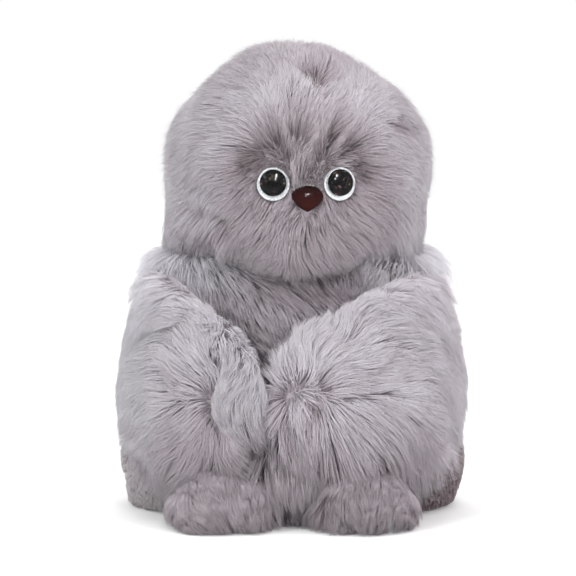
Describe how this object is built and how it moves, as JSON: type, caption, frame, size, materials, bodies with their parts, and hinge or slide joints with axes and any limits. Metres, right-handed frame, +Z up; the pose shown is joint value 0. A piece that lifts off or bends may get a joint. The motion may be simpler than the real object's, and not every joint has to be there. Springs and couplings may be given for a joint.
{
  "type": "plush owl",
  "caption": "Sitting plush owl in long grey faux fur, with a turning head, wings folded over its belly, stubby feet, safety eyes and an amber beak.",
  "frame": {"origin": "centre of the flat base panel's underside, which the toy sits on", "axes": "+Z up, the owl looks along -Y, its own left side is +X"},
  "size_m": [0.1824, 0.1619, 0.25],
  "materials": {
    "pile": "long-pile faux fur, matt",
    "face_pile": "long-pile faux fur, matt",
    "sole": "short plush, matt",
    "fibrefill": "loose fibre",
    "pouch": "woven cloth, matt",
    "clear_plastic": "clear, polished",
    "silver_foil": "silver glitter foil",
    "black_plastic": "polished",
    "amber_plastic": "polished",
    "washer_plastic": "as moulded"
  },
  "bodies": {
    "body": {"body_cover": "pile", "seat_cover": "sole", "body_stuffing": "fibrefill", "bean_pouch": "pouch", "base_panel": "sole"},
    "neck": {"neck_stuffing": "fibrefill"},
    "head": {"head_cover": "pile", "head_stuffing": "fibrefill", "face_panel": "face_pile", "left_eye_lens": "clear_plastic", "left_eye_iris": "silver_foil", "left_eye_pupil": "black_plastic", "left_eye_washer": "washer_plastic", "right_eye_lens": "clear_plastic", "right_eye_iris": "silver_foil", "right_eye_pupil": "black_plastic", "right_eye_washer": "washer_plastic", "beak": "amber_plastic", "beak_washer": "washer_plastic"},
    "left_wing": {"left_wing_cover": "pile", "left_wing_stuffing": "fibrefill"},
    "right_wing": {"right_wing_cover": "pile", "right_wing_stuffing": "fibrefill"},
    "left_foot": {"left_foot_cover": "pile", "left_foot_stuffing": "fibrefill"},
    "right_foot": {"right_foot_cover": "pile", "right_foot_stuffing": "fibrefill"}
  },
  "joints": [
    {"name": "neck_turn", "type": "hinge", "parent": "body", "child": "neck", "pos_m": [0, 0, 0.147], "axis": [0, 0, 1], "range_deg": [-32, 18], "stiffness_Nm_per_rad": 0.15},
    {"name": "head_nod", "type": "hinge", "parent": "neck", "child": "head", "pos_m": [0, 0, 0.147], "axis": [0.9925, 0.1219, 0], "range_deg": [-6, 6], "stiffness_Nm_per_rad": 0.6},
    {"name": "left_wing_spread", "type": "hinge", "parent": "body", "child": "left_wing", "pos_m": [0.08054, 0.00793, 0.08673], "axis": [-0.1712, -0.0143, 0.9851], "range_deg": [0, 75], "stiffness_Nm_per_rad": 0.02},
    {"name": "right_wing_spread", "type": "hinge", "parent": "body", "child": "right_wing", "pos_m": [-0.08054, 0.00793, 0.08673], "axis": [-0.1712, 0.0143, -0.9851], "range_deg": [0, 75], "stiffness_Nm_per_rad": 0.02},
    {"name": "left_foot_lift", "type": "hinge", "parent": "body", "child": "left_foot", "pos_m": [0.038, -0.06525, 0.03441], "axis": [-1, 0, 0], "range_deg": [0, 20], "stiffness_Nm_per_rad": 0.02},
    {"name": "right_foot_lift", "type": "hinge", "parent": "body", "child": "right_foot", "pos_m": [-0.038, -0.06525, 0.03441], "axis": [-1, 0, 0], "range_deg": [0, 20], "stiffness_Nm_per_rad": 0.02}
  ]
}
